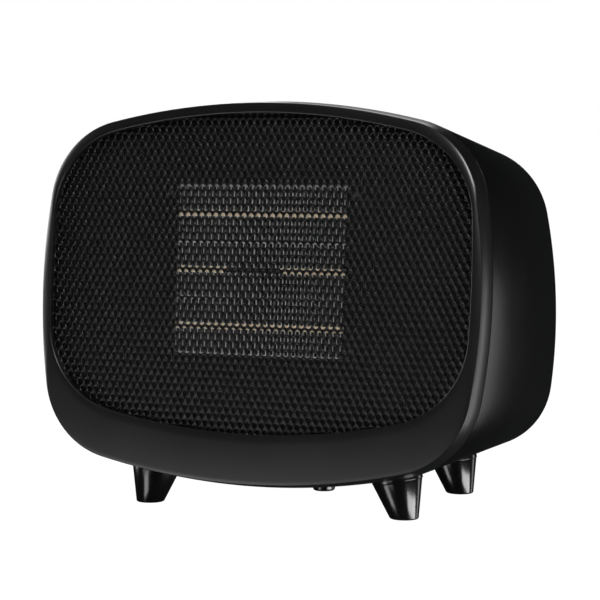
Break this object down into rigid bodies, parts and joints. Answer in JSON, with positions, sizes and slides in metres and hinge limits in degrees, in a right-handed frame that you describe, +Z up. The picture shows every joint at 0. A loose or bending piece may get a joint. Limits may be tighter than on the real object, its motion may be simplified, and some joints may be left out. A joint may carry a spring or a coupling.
{
  "type": "ceramic space heater",
  "caption": "Retro television shaped ceramic fan heater with a perforated front grille, tapered housing and splayed conical feet.",
  "frame": {"origin": "on the floor under the middle of the heater's width and overall length", "axes": "+X to the viewer's right when facing the grille, +Y from the grille towards the back, +Z up"},
  "size_m": [0.254, 0.1834, 0.2191],
  "materials": {
    "gloss_black": "glossy moulded",
    "grille_black": "satin black paint",
    "housing_black": "fine satin texture",
    "inner_black": "plain moulded",
    "knob_black": "satin",
    "aluminium": "rolled sheet",
    "ptc_ceramic": "beige insulated ceramic",
    "holder_white": "heat resistant black moulding",
    "brass": "plain",
    "steel": "zinc plated",
    "fuse_white": "glazed",
    "lens_red": "clear red"
  },
  "bodies": {
    "heater": {"front_bezel": "gloss_black", "front_grille": "grille_black", "element_frame": "inner_black", "element_plate_bottom": "aluminium", "element_plate_lower": "aluminium", "element_plate_upper": "aluminium", "element_plate_top": "aluminium", "ptc_strip_bottom": "ptc_ceramic", "fin_band_bottom_under": "aluminium", "fin_band_bottom_over": "aluminium", "ptc_strip_middle": "ptc_ceramic", "fin_band_middle_under": "aluminium", "fin_band_middle_over": "aluminium", "ptc_strip_top": "ptc_ceramic", "fin_band_top_under": "aluminium", "fin_band_top_over": "aluminium", "element_holder_left": "holder_white", "element_holder_right": "holder_white", "terminal_tabs": "brass", "element_screws": "steel", "fan_shroud": "inner_black", "motor_body": "steel", "motor_bushes": "brass", "motor_bracket": "steel", "bracket_screws": "steel", "motor_screws": "steel", "cutout_bracket": "steel", "thermal_cutout": "steel", "thermal_fuse": "fuse_white", "housing_shell": "housing_black", "foot_front_left": "gloss_black", "foot_front_right": "gloss_black", "foot_rear_left": "gloss_black", "foot_rear_right": "gloss_black", "foot_collars": "gloss_black", "foot_screws": "steel", "plunger_guide": "housing_black", "plunger_spring": "steel", "lever_pin": "steel", "tip_switch": "inner_black", "switch_bracket": "steel", "rear_cover": "housing_black", "cover_screws": "steel", "mode_switch": "inner_black", "thermostat": "inner_black", "indicator_lens": "lens_red", "pilot_lamp": "lens_red", "cord_gland": "knob_black", "gland_nut": "inner_black", "terminal_block": "inner_black", "terminal_screws": "brass"},
    "fan_rotor": {"fan_impeller": "inner_black", "fan_shaft": "steel"},
    "mode_dial": {"mode_knob": "knob_black", "mode_spindle": "steel"},
    "thermostat_dial": {"thermostat_knob": "knob_black", "thermostat_spindle": "steel"},
    "tip_plunger_body": {"tip_plunger": "knob_black"},
    "tip_lever_body": {"tip_lever": "steel"}
  },
  "joints": [
    {"name": "fan_spin", "type": "hinge", "parent": "heater", "child": "fan_rotor", "pos_m": [0, -0.04106, 0.12717], "axis": [0, 0.9961, -0.0877], "continuous": true},
    {"name": "mode_turn", "type": "hinge", "parent": "heater", "child": "mode_dial", "pos_m": [0.086, 0.07013, 0.13928], "axis": [0, 0.9946, 0.104], "range_deg": [0, 180]},
    {"name": "thermostat_turn", "type": "hinge", "parent": "heater", "child": "thermostat_dial", "pos_m": [0.086, 0.07491, 0.09353], "axis": [0, 0.9946, 0.104], "range_deg": [0, 270]},
    {"name": "plunger_drop", "type": "slide", "parent": "heater", "child": "tip_plunger_body", "axis": [0, 0, -1], "range_m": [0, 0.004], "stiffness_N_per_m": 60, "springref_m": 0.02, "deforming": ["plunger_spring"]},
    {"name": "lever_follow", "type": "hinge", "parent": "heater", "child": "tip_lever_body", "pos_m": [0.015, 0.01703, 0.04532], "axis": [0, 1, 0], "range_deg": [-15, 0]}
  ],
  "couplings": [
    {"joint": "lever_follow", "follows": "plunger_drop", "rad_per_m": -65.151}
  ]
}
